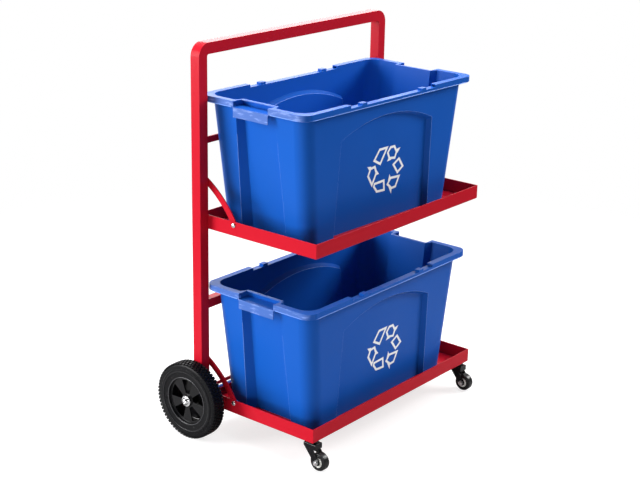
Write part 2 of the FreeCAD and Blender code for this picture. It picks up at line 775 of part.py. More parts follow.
def make_race(label, side):
    """Pressed cup under the tray that the balls run in."""
    top, low = deck_z, deck_z - S["race_rise"]
    rim, r = S["race_d"] / 2, S["stem_d"] / 2
    body = turned_z(label, [(r, top), (rim - 2, top), (rim, top - 2), (rim, low), (rim - 2, low),
                            (rim - 2, top - 3), (r, top - 3)])
    return keep(body, **caster_spot(side))


def make_ball_ring(label, side):
    mid = S["ball_ring_d"] / 2
    r = S["ball_d"] / 2
    z = fork_top + S["race_gap"] / 2 + r
    body = new_body(label)
    sk = sketch(body, "XZ_Plane")
    outline(sk, [(mid - r, z - r), (mid + r, z - r), (mid + r, z + r), (mid - r, z + r)])
    revolve(body, sk, "V_Axis")
    return keep(body, **caster_spot(side))


def make_stem_nut(label, side):
    body = new_body(label)
    sk = sketch(body, "XY_Plane", z=deck_z + S["sheet_t"])
    hexagon(sk, S["stem_nut_af"])
    circle(sk, 0, 0, S["stem_d"] / 2)
    pad(body, sk, S["stem_nut_h"])
    return keep(body, **caster_spot(side))


def make_fork(label, side):
    """Pressed fork: boxed top, cheeks running down to the wheel bolt."""
    body = new_body(label)
    top, box, r = fork_top, S["fork_box"], S["fork_end_r"]
    back, front = S["fork_back"], -S["fork_front"]
    cy, cz = -S["caster_trail"], hub_z
    sk = sketch(body, "YZ_Plane")
    corner = [(back, top - box / 2), (back, top), (front, top), (front, top - box), (front + 7, top - box)]
    pts = [V(dim(a).val, dim(b).val, 0) for a, b in corner]
    lines = []
    for i in range(4):
        lines.append(sk.addGeometry(Part.LineSegment(pts[i], pts[i + 1]), False))
        pin(sk, lines[i], 1, *corner[i])
    pin(sk, lines[3], 2, *corner[4])
    for i in range(3):
        sk.addConstraint(Sketcher.Constraint("Coincident", lines[i], 2, lines[i + 1], 1))

    def touch(p, sense):
        """Point where the line from p meets the round end."""
        c = V(cy.val, cz.val, 0)
        d = p - c
        a = math.atan2(d.y, d.x) + sense * math.acos(r.val / d.Length)
        return c + V(math.cos(a), math.sin(a), 0) * r.val, a

    t_front, a_front = touch(pts[4], 1)
    t_back, a_back = touch(pts[0], -1)
    if a_back < a_front:
        a_back += 2 * math.pi
    down = sk.addGeometry(Part.LineSegment(pts[4], t_front), False)
    end = sk.addGeometry(Part.ArcOfCircle(Part.Circle(V(cy.val, cz.val, 0), V(0, 0, 1), r.val), a_front, a_back), False)
    up = sk.addGeometry(Part.LineSegment(t_back, pts[0]), False)
    sk.addConstraint(Sketcher.Constraint("Coincident", lines[3], 2, down, 1))
    sk.addConstraint(Sketcher.Constraint("Coincident", up, 2, lines[0], 1))
    pin(sk, end, 3, cy, cz)
    fix(sk, "Radius", end, r)
    sk.addConstraint(Sketcher.Constraint("Tangent", down, 2, end, 1))
    sk.addConstraint(Sketcher.Constraint("Tangent", end, 2, up, 1))
    blank = pad(body, sk, 2 * fork_half, symmetric=True)
    edge_z = top.val - 1e-3
    fillet(body, blank, 3.0, lambda e: e.BoundBox.ZMin > edge_z and e.BoundBox.YLength > 5)
    t = S["fork_t"]
    inside = sketch(body, "YZ_Plane")
    reach = S["caster_trail"] + r + 5
    outline(inside, [(back + 5, -5), (back + 5, top - t), (front + t, top - t), (front + t, top - box),
                     (-reach, top - box), (-reach, -5)])
    pocket(body, inside, S["fork_gap"], symmetric=True)
    eye = sketch(body, "XY_Plane", z=top + 1)
    circle(eye, 0, 0, S["stem_d"] / 2 + S["stem_clear"])
    pocket(body, eye, t + 2)
    hole = sketch(body, "YZ_Plane")
    circle(hole, cy, cz, S["pin_d"] / 2 + S["pin_clear"])
    pocket(body, hole, 2 * fork_half + 4, symmetric=True)
    return keep(body, **caster_spot(side))


def make_caster_core(label, side):
    bore, rim = S["pin_d"] / 2 + S["pin_clear"], S["core_d"] / 2
    a, b = S["core_hub"] / 2, S["caster_w"] / 2
    body = turned_x(label, [[(-a, bore), (a, bore), (a, 8), (b - 2, 9), (b - 2, rim - 3), (b, rim),
                             (-b, rim), (2 - b, rim - 3), (2 - b, 9), (-a, 8)]],
                    -S["caster_trail"], hub_z)
    return keep(body, **caster_spot(side))


def make_caster_tread(label, side):
    body = new_body(label)
    sk = sketch(body, "XY_Plane", 0, -S["caster_trail"], hub_z)
    b, seat, rim = S["caster_w"] / 2, S["core_d"] / 2, S["caster_d"] / 2
    outline(sk, [(-b, seat), (b, seat), (b, rim - 4), (b - 1.2, rim - 1.2), (b - 4, rim),
                 (4 - b, rim), (1.2 - b, rim - 1.2), (-b, rim - 4)])
    revolve(body, sk, "H_Axis")
    return keep(body, **caster_spot(side))


def make_caster_bolt(label, side):
    body = new_body(label)
    r, end = S["pin_d"] / 2, fork_half + S["nut_h"] + 1.5
    shank = sketch(body, "YZ_Plane", -S["caster_trail"], hub_z, -end)
    circle(shank, 0, 0, r)
    pad(body, shank, end + fork_half)
    head = sketch(body, "YZ_Plane", -S["caster_trail"], hub_z, fork_half)
    hexagon(head, S["nut_af"])
    pad(body, head, 5.3)
    return keep(body, **caster_spot(side))


def make_caster_nut(label, side):
    body = new_body(label)
    sk = sketch(body, "YZ_Plane", -S["caster_trail"], hub_z, -fork_half)
    hexagon(sk, S["nut_af"])
    circle(sk, 0, 0, S["pin_d"] / 2)
    pad(body, sk, S["nut_h"], back=True)
    return keep(body, **caster_spot(side))


# --------------------------------------------------------------------------
# Recycling boxes.  Drawn about the middle of the base.
# --------------------------------------------------------------------------
end_lean = S["bin_h"] * tangent(S["end_draft"])        # spread of an end over the height
side_lean = S["bin_h"] * tangent(S["side_draft"])      # spread of a long side


def box_form(label, inset):
    """Drafted box with an arch panel pressed in on each long side and a
    hand recess on each end; inset moves every wall inwards."""
    body = new_body(label)
    top_x, top_y = S["bin_l"] / 2 - inset, S["bin_w"] / 2 - inset
    foot_x, foot_y = top_x - end_lean, top_y - side_lean
    foot = sketch(body, "XY_Plane", z=inset)
    rounded(foot, foot_x + inset * tangent(S["end_draft"]), foot_y + inset * tangent(S["side_draft"]),
            S["bin_corner"] - inset)
    head = sketch(body, "XY_Plane", z=S["bin_h"])
    rounded(head, top_x, top_y, S["bin_corner"] - inset)
    loft(body, "AdditiveLoft", foot, [head])

    out = dim(6.0)                                # cutters start outside the wall
    past = 30                                     # and run past the base and the rim

    def on_wall(plane, half_base, depth, draft):
        return sketch(body, plane, 0, sine(draft) * depth, half_base - cosine(draft) * depth, tilt=draft)

    # arch panel on the long sides
    deep, run = S["arch_deep"], S["arch_run"]
    crown = (S["bin_h"] - S["arch_peak"]) / cosine(S["side_draft"]) + inset
    sections = []
    for depth in (-out, deep):
        grow = inset - run * depth / deep
        r = S["arch_r"] + grow
        wt, wf = S["arch_half_top"] + grow, S["arch_half_foot"] + grow
        shoulder = crown - S["arch_r"] + root(r * r - wt * wt)
        sk = on_wall("XZ_Plane", foot_y, depth, S["side_draft"])
        outline(sk, [(-wf, -past), (wf, -past), (wt, shoulder), (-wt, shoulder)], {2: (r, 1)})
        sections.append(sk)
    arch = loft(body, "SubtractiveLoft", sections[0], [sections[1]])
    mirrored(body, [arch], "XZ_Plane")

    # hand recess on the ends, open at the rim and wider at the base
    deep = S["end_deep"]
    sections = []
    for depth in (-out, deep):
        wt = S["end_half_top"] + inset - (S["end_half_top"] - S["end_floor_half"]) * depth / deep
        wf = S["end_half_foot"] + inset - (S["end_half_foot"] - S["end_floor_half"]) * depth / deep
        sk = on_wall("YZ_Plane", foot_x, depth, S["end_draft"])
        outline(sk, [(-wf, -past), (wf, -past), (wt, S["bin_h"] + past), (-wt, S["bin_h"] + past)])
        sections.append(sk)
    hand = loft(body, "SubtractiveLoft", sections[0], [sections[1]])
    mirrored(body, [hand], "YZ_Plane")
    return body


def make_bin(label, y, deck, x=0, turn=0):
    top = S["bin_h"]
    half_x, half_y = S["bin_l"] / 2, S["bin_w"] / 2
    rim_x, rim_y, rim_r = half_x + S["rim_out"], half_y + S["rim_out"], S["rim_corner"]
    t = S["rim_t"]

    body = box_form(label + "_outside", dim(0))
    # turned-out rim with its skirt
    sk = sketch(body, "XY_Plane", z=top)
    rounded(sk, rim_x, rim_y, rim_r)
    pad(body, sk, t, back=True)
    sk = sketch(body, "XY_Plane", z=top)
    rounded(sk, rim_x, rim_y, rim_r)
    rounded(sk, rim_x - t, rim_y - t, rim_r - t)
    pad(body, sk, S["skirt_h"], back=True)
    # lowered middle of the long rims
    sk = sketch(body, "XY_Plane", z=top)
    rectangle(sk, -S["dip_half"], S["dip_half"], -rim_y - 1, rim_y + 1)
    pocket(body, sk, S["dip_h"])
    sk = sketch(body, "XY_Plane", z=top - S["dip_h"])
    rectangle(sk, -S["dip_half"] - t, S["dip_half"] + t, -rim_y, rim_y)
    pad(body, sk, t, back=True)
    # stacking tabs
    sk = sketch(body, "XY_Plane", z=top - S["dip_h"])
    for sx in (-1, 1):
        for sy in (-1, 1):
            a, b = sx * S["tab_x"] - S["tab_l"] / 2, sx * S["tab_x"] + S["tab_l"] / 2
            c, d = (half_y, rim_y) if sy > 0 else (-rim_y, -half_y)
            rectangle(sk, a, b, c, d)
    pad(body, sk, S["tab_h"])
    # handles: the rim steps down to a ledge with a deep grip lip
    wall_top = half_x - S["end_deep"] / cosine(S["end_draft"])
    for side in (-1, 1):
        def span(a, b):
            return (side * a, side * b) if side > 0 else (side * b, side * a)
        sk = sketch(body, "XY_Plane", z=top)
        rectangle(sk, *span(wall_top + S["rail_out"], rim_x + 1), -S["grip_half"], S["grip_half"])
        pocket(body, sk, S["skirt_h"] + 1)
        sk = sketch(body, "XY_Plane", z=top - S["grip_drop"])
        rectangle(sk, *span(wall_top - S["bin_wall"], rim_x), -S["grip_half"] - t, S["grip_half"] + t)
        pad(body, sk, t, back=True)
        sk = sketch(body, "XY_Plane", z=top - S["grip_drop"])
        rectangle(sk, *span(rim_x - t, rim_x), -S["grip_half"], S["grip_half"])
        pad(body, sk, S["grip_h"], back=True)

    core = box_form(label + "_inside", S["bin_wall"])
    cut = doc.addObject("Part::Cut", label)
    cut.Label = label
    cut.Base = body
    cut.Tool = core
    doc.recompute()
    return keep(cut, x=x, y=y, z=deck + S["sheet_t"] + S["bin_lift"], turn=turn)


# --------------------------------------------------------------------------
# Build
# --------------------------------------------------------------------------
make_handle_frame()
make_upper_crossbar()
make_lower_crossbar()
make_tube_plugs()
make_shelf("lower_shelf", deck_z, bolt_low_z, rolling=True)
make_shelf("upper_shelf", upper_deck_z, bolt_low_z + deck_pitch)
for level, z in (("lower", bolt_low_z), ("upper", bolt_low_z + deck_pitch)):
    for hand, side in (("left", -1), ("right", 1)):
        make_brace("%s_%s_brace" % (level, hand), side, z)
make_brace_bolts()
make_brace_nuts()
make_axle()
make_washers()
for hand, side in (("left", -1), ("right", 1)):
    make_cap(hand + "_axle_cap", side)
    make_tyre(hand + "_tyre", side)
    make_hub(hand + "_hub", side)
    make_bush(hand + "_hub_bush", side)
    make_stem(hand + "_caster_stem", side)
    make_stem_nut(hand + "_caster_stem_nut", side)
    make_race(hand + "_caster_race", side)
    make_ball_ring(hand + "_caster_ball_ring", side)
    make_fork(hand + "_caster_fork", side)
    make_caster_core(hand + "_caster_core", side)
    make_caster_tread(hand + "_caster_tread", side)
    make_caster_bolt(hand + "_caster_bolt", side)
    make_caster_nut(hand + "_caster_nut", side)
make_bin("lower_bin", lower_box_y, deck_z, -S["lower_box_left"])
make_bin("upper_bin", upper_box_y, upper_deck_z, turn=-S["upper_box_turn"].val)

doc.recompute()
for obj in doc.Objects:
    if "Invalid" in obj.State or "Error" in obj.State:
        raise RuntimeError("%s failed: %s" % (obj.Label, obj.State))
for obj in nodes:
    if obj.Shape.isNull() or not obj.Shape.isValid():
        raise RuntimeError("%s has no valid shape" % obj.Label)

os.makedirs("parts", exist_ok=True)
for obj in nodes:
    obj.Shape.exportStep("parts/%s.step" % obj.Label)
    box = obj.Shape.BoundBox
    print("%-26s solids %d  x %8.2f %8.2f  y %8.2f %8.2f  z %8.2f %8.2f  vol %10.0f" % (
        obj.Label, len(obj.Shape.Solids), box.XMin, box.XMax, box.YMin, box.YMax, box.ZMin, box.ZMax, obj.Shape.Volume))
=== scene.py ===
"""Recycling bin station: finishes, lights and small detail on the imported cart."""
import json
import math

import bpy
import bmesh
from mathutils import Matrix, Vector
from mathutils.bvhtree import BVHTree

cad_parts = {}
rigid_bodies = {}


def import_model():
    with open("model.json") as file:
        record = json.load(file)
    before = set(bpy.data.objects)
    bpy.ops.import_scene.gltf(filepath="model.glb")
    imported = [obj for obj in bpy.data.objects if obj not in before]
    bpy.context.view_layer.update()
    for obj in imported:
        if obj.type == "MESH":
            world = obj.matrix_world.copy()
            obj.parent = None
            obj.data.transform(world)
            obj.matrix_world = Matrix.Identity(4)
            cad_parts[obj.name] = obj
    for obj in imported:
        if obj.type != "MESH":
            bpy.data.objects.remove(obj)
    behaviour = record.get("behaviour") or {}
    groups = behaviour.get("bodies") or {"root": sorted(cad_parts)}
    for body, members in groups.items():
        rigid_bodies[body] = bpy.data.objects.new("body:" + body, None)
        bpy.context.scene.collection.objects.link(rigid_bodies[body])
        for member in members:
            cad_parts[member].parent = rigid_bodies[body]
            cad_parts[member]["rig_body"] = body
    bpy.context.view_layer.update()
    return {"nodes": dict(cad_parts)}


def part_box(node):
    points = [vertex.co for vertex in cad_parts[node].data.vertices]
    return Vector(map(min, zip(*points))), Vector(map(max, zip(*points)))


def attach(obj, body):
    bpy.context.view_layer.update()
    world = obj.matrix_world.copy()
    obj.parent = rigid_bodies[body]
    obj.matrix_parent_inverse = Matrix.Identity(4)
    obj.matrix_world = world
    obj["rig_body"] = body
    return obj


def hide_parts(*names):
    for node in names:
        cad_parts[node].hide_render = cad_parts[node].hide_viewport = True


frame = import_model()
MM = 0.001


# -------------------------------------------------------------- shader helpers
def join(tree, source, target):
    tree.links.new(source, target)


def mathed(tree, operation, a, b):
    n = tree.nodes.new("ShaderNodeMath")
    n.operation = operation
    for socket, value in zip(n.inputs, (a, b)):
        if isinstance(value, (int, float)):
            socket.default_value = value
        else:
            join(tree, value, socket)
    return n.outputs[0]


def ranged(tree, value, low, high, to_low, to_high):
    r = tree.nodes.new("ShaderNodeMapRange")
    r.interpolation_type = "SMOOTHSTEP"
    limits = (("From Min", low), ("From Max", high), ("To Min", to_low), ("To Max", to_high))
    for socket, number in limits:
        r.inputs[socket].default_value = number
    join(tree, value, r.inputs["Value"])
    return r.outputs["Result"]


# ------------------------------------------------------------------ materials
MIX_SHARE, MIX_UNDER, MIX_OVER, MIX_RESULT = 0, 6, 7, 2      # colour sockets of a Mix node
COAT_ROUGH = 0.08


class Finish:
    """A painted, moulded or plated surface built on the standard shader."""

    def __init__(self, name, colour, rough, metal=0.0, specular=0.5, coat=0.0):
        self.name = name
        self.mat = bpy.data.materials.new(name)
        self.mat.use_nodes = True
        self.tree = self.mat.node_tree
        self.shader = self.tree.nodes["Principled BSDF"]
        self.colour, self.rough = colour, rough
        self.set("Base Color", (*colour, 1))
        self.set("Roughness", rough)
        self.set("Metallic", metal)
        self.set("Specular IOR Level", specular)
        self.set("Coat Weight", coat)
        self.set("Coat Roughness", COAT_ROUGH)
        self.place = self.tree.nodes.new("ShaderNodeTexCoord").outputs["Object"]
        self.last_colour = None

    def set(self, socket, value):
        self.shader.inputs[socket].default_value = value

    def noise(self, scale, detail=3.0, stretch=(1, 1, 1), rough=0.5):
        place = self.place
        if stretch != (1, 1, 1):
            m = self.tree.nodes.new("ShaderNodeMapping")
            m.inputs["Scale"].default_value = stretch
            join(self.tree, place, m.inputs["Vector"])
            place = m.outputs[0]
        n = self.tree.nodes.new("ShaderNodeTexNoise")
        n.inputs["Scale"].default_value = scale
        n.inputs["Detail"].default_value = detail
        n.inputs["Roughness"].default_value = rough
        join(self.tree, place, n.inputs["Vector"])
        return n.outputs["Fac"]

    def span(self, value, low, high, to_low, to_high):
        return ranged(self.tree, value, low, high, to_low, to_high)

    def over(self, colour, where):
        """Lays a second colour over what is there, as far as where says."""
        m = self.tree.nodes.new("ShaderNodeMix")
        m.data_type = "RGBA"
        m.inputs[MIX_UNDER].default_value = (*self.colour, 1)
        m.inputs[MIX_OVER].default_value = (*colour, 1)
        join(self.tree, where, m.inputs[MIX_SHARE])
        if self.last_colour:
            join(self.tree, self.last_colour, m.inputs[MIX_UNDER])
        self.last_colour = m.outputs[MIX_RESULT]
        join(self.tree, self.last_colour, self.shader.inputs["Base Color"])

    def mottle(self, amount, scale):
        """Slow drift of the colour's depth over the piece."""
        depth = self.span(self.noise(scale, 4), 0.3, 0.7, 1 - amount, 1 + amount)
        s = self.tree.nodes.new("ShaderNodeVectorMath")
        s.operation = "SCALE"
        s.inputs[0].default_value = self.colour
        join(self.tree, depth, s.inputs["Scale"])
        self.last_colour = s.outputs["Vector"]
        join(self.tree, self.last_colour, self.shader.inputs["Base Color"])
        return self

    def glint_speckles(self, colour, scale, cover, strength, stretch=(1, 1, 1)):
        """Painted glints: pale speckles of a second colour where a broken pattern is high."""
        pattern = self.noise(scale, 8, stretch, 0.62)
        self.over(colour, self.span(pattern, 1 - cover, 1.16 - cover, 0, strength))
        return self

    def rubbed(self, pale, streak):
        """Painted highlight on faces turned to the ends, paler the more they face them, with long scuff
        streaks inside it.
        """
        facing = self.tree.nodes.new("ShaderNodeSeparateXYZ")
        join(self.tree, self.tree.nodes.new("ShaderNodeNewGeometry").outputs["Normal"], facing.inputs[0])
        size = self.tree.nodes.new("ShaderNodeMath")
        size.operation = "ABSOLUTE"
        join(self.tree, facing.outputs["X"], size.inputs[0])
        end_facing = self.span(size.outputs[0], 0.55, 1.0, 0, 1)
        self.over(pale, end_facing)
        streaked = self.span(self.noise(26, 8, (1, 1, 5), 0.62), 0.50, 0.66, 0, 0.8)
        self.over(streak, mathed(self.tree, "MULTIPLY", end_facing, streaked))
        return self

    def uneven(self, amount, scale=22):
        """Gloss that changes from place to place."""
        rough = self.span(self.noise(scale, 6), 0.25, 0.75, self.rough - amount, self.rough + amount)
        join(self.tree, rough, self.shader.inputs["Roughness"])
        return self

    def grain(self, strength, scale, depth=0.4, stretch=(1, 1, 1)):
        """Fine relief, such as orange peel or a moulded grain."""
        b = self.tree.nodes.new("ShaderNodeBump")
        b.inputs["Strength"].default_value = strength
        b.inputs["Distance"].default_value = depth * MM
        join(self.tree, self.noise(scale, 3, stretch), b.inputs["Height"])
        join(self.tree, b.outputs["Normal"], self.shader.inputs["Normal"])
        return self


RED, BLUE = (0.50, 0.008, 0.021), (0.007, 0.094, 0.460)
finishes = [
    Finish("red_paint", RED, 0.28, specular=0.08).mottle(0.02, 5).uneven(0.006, 8).grain(0.04, 260),
    Finish("blue_plastic", BLUE, 0.36, specular=0.10).mottle(0.03, 4).uneven(0.04, 9).grain(0.12, 900),
    # Tyre: the pale speckles are painted glints on the rubber.
    Finish("tyre_rubber", (0.006, 0.006, 0.007), 0.32, specular=0.10)
    .glint_speckles((0.075, 0.074, 0.072), 190, 0.42, 0.5).uneven(0.06).grain(0.25, 700),
    Finish("hub_plastic", (0.005, 0.005, 0.006), 0.18, specular=0.22).mottle(0.08, 9).grain(0.06, 800),
    Finish("nylon", (0.62, 0.61, 0.57), 0.5).mottle(0.05, 60).grain(0.1, 900),
    Finish("bright_steel", (0.70, 0.70, 0.71), 0.28, metal=1.0).uneven(0.08, 90).grain(0.05, 1500),
    Finish("chrome_cap", (0.86, 0.86, 0.87), 0.14, metal=1.0).uneven(0.05, 120).grain(0.03, 900),
    Finish("black_steel", (0.004, 0.004, 0.005), 0.18, specular=0.26).uneven(0.05, 40).grain(0.12, 500),
    Finish("caster_tread", (0.005, 0.005, 0.006), 0.30, specular=0.35).uneven(0.06, 90).grain(0.10, 700),
    Finish("caster_core", (0.84, 0.84, 0.80), 0.38).mottle(0.03, 70).grain(0.08, 900),
    Finish("black_plastic", (0.014, 0.014, 0.015), 0.45).mottle(0.08, 30).grain(0.15, 800),
]
MATS = {f.name: f.mat for f in finishes}


# Paler blues laid on rounded edges, wall lines and beads of the boxes: painted highlights.
def highlight_blue(name, colour):
    return Finish(name, colour, 0.36, specular=0.3).mottle(0.10, 30).grain(0.1, 900).mat


BLUE_EDGE_HIGHLIGHT = highlight_blue("blue_edge_highlight", (0.130, 0.290, 0.800))
BLUE_LINE_HIGHLIGHT = highlight_blue("blue_line_highlight", (0.260, 0.450, 0.950))
# Rim ends: painted highlight where the faces turn to the ends, with scuff streaks.
end_facing_blue = Finish("blue_sheen_and_scuffs", BLUE, 0.42, specular=0.25)
BLUE_SHEEN_AND_SCUFFS = end_facing_blue.rubbed((0.050, 0.130, 0.440), (0.18, 0.28, 0.64)).grain(0.15, 700).mat
# Beads on the wheels: real gloss, and a grey paler than the black around them as a painted highlight.
lip_grey_highlight = Finish("lip_gloss", (0.045, 0.045, 0.050), 0.20, specular=0.8)
LIP_GLOSS_AND_HIGHLIGHT = lip_grey_highlight.mottle(0.1, 40).uneven(0.05).grain(0.05, 700).mat
film_white = Finish("sign_white", (0.97, 0.98, 0.99), 0.42, specular=0.4)
SIGN_WHITE = film_white.mottle(0.02, 40).uneven(0.06).grain(0.06, 600).mat

for shown in frame["nodes"].values():
    for i, m in enumerate(shown.data.materials):
        if m and m.name.split(".")[0] in MATS:
            shown.data.materials[i] = MATS[m.name.split(".")[0]]


# ---------------------------------------------------------------- shop helpers
def body_of(node):
    return frame["nodes"][node]["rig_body"]


def slot_of(node):
    return frame["nodes"][node].data.materials[0].name.split(".")[0]


def middle(node):
    low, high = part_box(node)
    return (Vector(low) + Vector(high)) / 2


def hang(name, bm, body, slot, instead=(), look=None, crease=35):
    """Turns a bmesh into a piece that rides on a body."""
    bmesh.ops.remove_doubles(bm, verts=bm.verts, dist=1e-6)
    bmesh.ops.recalc_face_normals(bm, faces=bm.faces)
    return keep(name, bm, body, slot, instead, look, crease)


def keep(name, bm, body, slot, instead=(), look=None, crease=35):
    for f in bm.faces:
        f.smooth = True
    for e in bm.edges:
        e.smooth = len(e.link_faces) == 2 and e.calc_face_angle(0) < math.radians(crease)
    me = bpy.data.meshes.new(name)
    bm.to_mesh(me)
    bm.free()
    if "custom_normal" in me.attributes:
        me.attributes.remove(me.attributes["custom_normal"])
    me.materials.append(look or MATS[slot])
    o = bpy.data.objects.new(name, me)
    bpy.context.scene.collection.objects.link(o)
    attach(o, body)
    if instead:
        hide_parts(*instead)
    return o


WEAK = -16384          # a rounded edge gives way to the flat faces beside it
BROAD = 15e-4          # a face of 15 square centimetres or more keeps its own normal
WITH_HOLES = ("upper_bin", "lower_bin", "left_hub", "right_hub", "lower_crossbar")
# Extra looks of a box: painted edge highlight, painted end highlight with scuff streaks, painted line
# highlight.
LOOKS = (BLUE_EDGE_HIGHLIGHT, BLUE_SHEEN_AND_SCUFFS, BLUE_LINE_HIGHLIGHT)
EDGE_HIGHLIGHT_LOOK, SHEEN_AND_SCUFFS_LOOK, LINE_HIGHLIGHT_LOOK = 1, 2, 3      # after the piece's own material
RIM_DEPTH, GRIP_DEPTH = 50 * MM, 43 * MM         # from the rim's top down to the walls and to the grips' foot
GRIP_REACH = 0.320                               # the grips lie further out than this
WALL_ROUND = 2.0
SLIVER = 6e-5


def softened(node, width, segments=2, angle=28):
    """Copy of a CAD piece with rounded edges; a box's rounded edges are coloured as painted highlights, and
    its rim ends near the grips get a painted highlight with scuff streaks.
    """
    src = frame["nodes"][node]
    bm = bmesh.new()
    bm.from_mesh(src.data)
    bmesh.ops.remove_doubles(bm, verts=bm.verts, dist=1e-5)
    if node not in WITH_HOLES:
        bmesh.ops.dissolve_limit(bm, angle_limit=math.radians(0.6), use_dissolve_boundaries=False,
                                 verts=bm.verts, edges=bm.edges, delimit={"NORMAL"})

    def sharp():
        return [e for e in bm.edges if len(e.link_faces) == 2 and e.calc_face_angle(0) > math.radians(angle)]

    def rounded(edges, offset, look=0):
        new = bmesh.ops.bevel(bm, geom=edges, offset=offset * MM, offset_type="OFFSET",
                              segments=segments, profile=0.5, affect="EDGES", clamp_overlap=True,
                              material=-1, loop_slide=True)["faces"]
        for f in new:
            f[weight] = WEAK
            f.material_index = look

    weight = bm.faces.layers.int.new("__mod_weightednormals_faceweight")
    for f in bm.faces:
        f[weight] = -WEAK if f.calc_area() > BROAD else 0
    if "bin" in node:
        low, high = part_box(node)
        heart = (low[0] + high[0]) / 2
        under_rim = high[2] - RIM_DEPTH
        # Wall edges are rounded and coloured as painted highlight lines.
        walls = [e for e in sharp() if e.is_convex and max(v.co.z for v in e.verts) < under_rim]
        rounded(walls, WALL_ROUND, LINE_HIGHLIGHT_LOOK)
        # Rim edges are rounded and coloured as painted edge highlights.
        upper = [e for e in sharp() if e.is_convex and max(v.co.z for v in e.verts) > under_rim]
        rounded(upper, width, EDGE_HIGHLIGHT_LOOK)
        bmesh.ops.remove_doubles(bm, verts=bm.verts, dist=SLIVER)
        bm.normal_update()
        for f in bm.faces:
            c = f.calc_center_median()
            base = min(v.co.z for v in f.verts)
            at_end = abs(f.normal.x) > 0.3 and abs(c.x - heart) > GRIP_REACH
            # Rim-end faces near the grips take the painted highlight with scuff streaks.
            if at_end and base > high[2] - GRIP_DEPTH:
                f.material_index = SHEEN_AND_SCUFFS_LOOK
    else:
        rounded(sharp(), width)
    crease = 32 if "bin" in node else 50
    o = keep(node + "_finish", bm, body_of(node), slot_of(node), [node], crease=crease)
    if "bin" in node:
        for look in LOOKS:
            o.data.materials.append(look)
    w = o.modifiers.new("normals", "WEIGHTED_NORMAL")
    w.keep_sharp = True
    w.use_face_influence = True
    return o


def spun(bm, outline, axis, centre, steps, closed=True):
    """Spins an outline of (along, out) millimetres round an axis through centre."""
    out = Vector((0, 0, 1)) if abs(axis.z) < 0.5 else Vector((1, 0, 0))
    ring = [bm.verts.new(centre + axis * a * MM + out * r * MM) for a, r in outline]
    last = len(ring) if closed else len(ring) - 1
    edges = [bm.edges.new((ring[i], ring[(i + 1) % len(ring)])) for i in range(last)]
    bmesh.ops.spin(bm, geom=ring + edges, cent=centre, axis=axis, dvec=(0, 0, 0), angle=math.tau, steps=steps,
                   use_merge=True, use_normal_flip=False, use_duplicate=False)


# ------------------------------------------------------------------ rear wheels
CROWN, TREAD_DEPTH, SUNK = 108.5, 2.7, 1.6       # tyre radius, block height over the carcass and into it
BLOCKS = 64
BLOCK_ROUND = 0.7
HUB_WALL_AT, CAP_AT, BOLT_SEAT = 0.3925, 0.4351, 0.3625
HUB_RIBS = 10
BOLT_HEAD_HALF = 8.5


def rear_tyre(hand, side):
    """Lugged tyre: carcass with a raised wall ring, and four staggered rows of blocks."""
    node = hand + "_tyre"
    centre = middle(node)
    axis = Vector((side, 0, 0))
    base = CROWN - TREAD_DEPTH
    wall = [(18.5, 67.5), (19.0, 80.0), (19.6, 82.4), (21.0, 83.6), (21.4, 85.4), (21.4, 90.0),
            (20.9, 91.6), (19.6, 92.6), (19.2, 94.0), (19.3, 98.0), (18.4, 101.4), (16.0, base - 0.6)]
    outline = wall + [(-a, r) for a, r in reversed(wall)]
    bm = bmesh.new()
    spun(bm, outline, axis, centre, 96)
    rows = ((-15.6, 0.0, 8.8, 7.9), (-5.2, 0.5, 8.4, 7.4), (5.2, 0.0, 8.4, 7.4), (15.6, 0.5, 8.8, 7.9))
    tall = CROWN - base + SUNK
    for across, turn, broad, long in rows:
        made = bmesh.ops.create_cube(bm, size=1.0)["verts"]
        bmesh.ops.scale(bm, verts=made, vec=(broad * MM, long * MM, tall * MM))
        top = [v for v in made if v.co.z > 0]
        bmesh.ops.scale(bm, verts=top, vec=(0.84, 0.84, 1))
        outer_row = abs(across) > 10
        for v in top:
            if outer_row and v.co.x * across > 0:
                v.co.z -= 1.2 * MM
        bmesh.ops.translate(bm, verts=made, vec=(across * MM, 0, (base - SUNK + tall / 2) * MM))
        edges = {e for v in made for e in v.link_edges}
        new = bmesh.ops.bevel(bm, geom=list(edges), offset=BLOCK_ROUND * MM, offset_type="OFFSET",
                              segments=1, profile=0.5, affect="EDGES", clamp_overlap=True,
                              material=-1)["faces"]
        block = set(new)
        grow = list(new)
        while grow:
            f = grow.pop()
            for e in f.edges:
                for g in e.link_faces:
                    if g not in block:
                        block.add(g)
                        grow.append(g)
        verts = list({v for f in block for v in f.verts})
        stagger = Matrix.Rotation(turn * math.tau / BLOCKS, 3, "X")
        bmesh.ops.rotate(bm, verts=verts, cent=(0, 0, 0), matrix=stagger)
        bmesh.ops.translate(bm, verts=verts, vec=centre)
        bmesh.ops.spin(bm, geom=list(block), cent=centre, axis=(1, 0, 0), dvec=(0, 0, 0),
                       angle=math.tau * (BLOCKS - 1) / BLOCKS, steps=BLOCKS - 1, use_duplicate=True)
    return hang(hand + "_tyre_lugged", bm, body_of(node), "tyre_rubber", [node], crease=28)


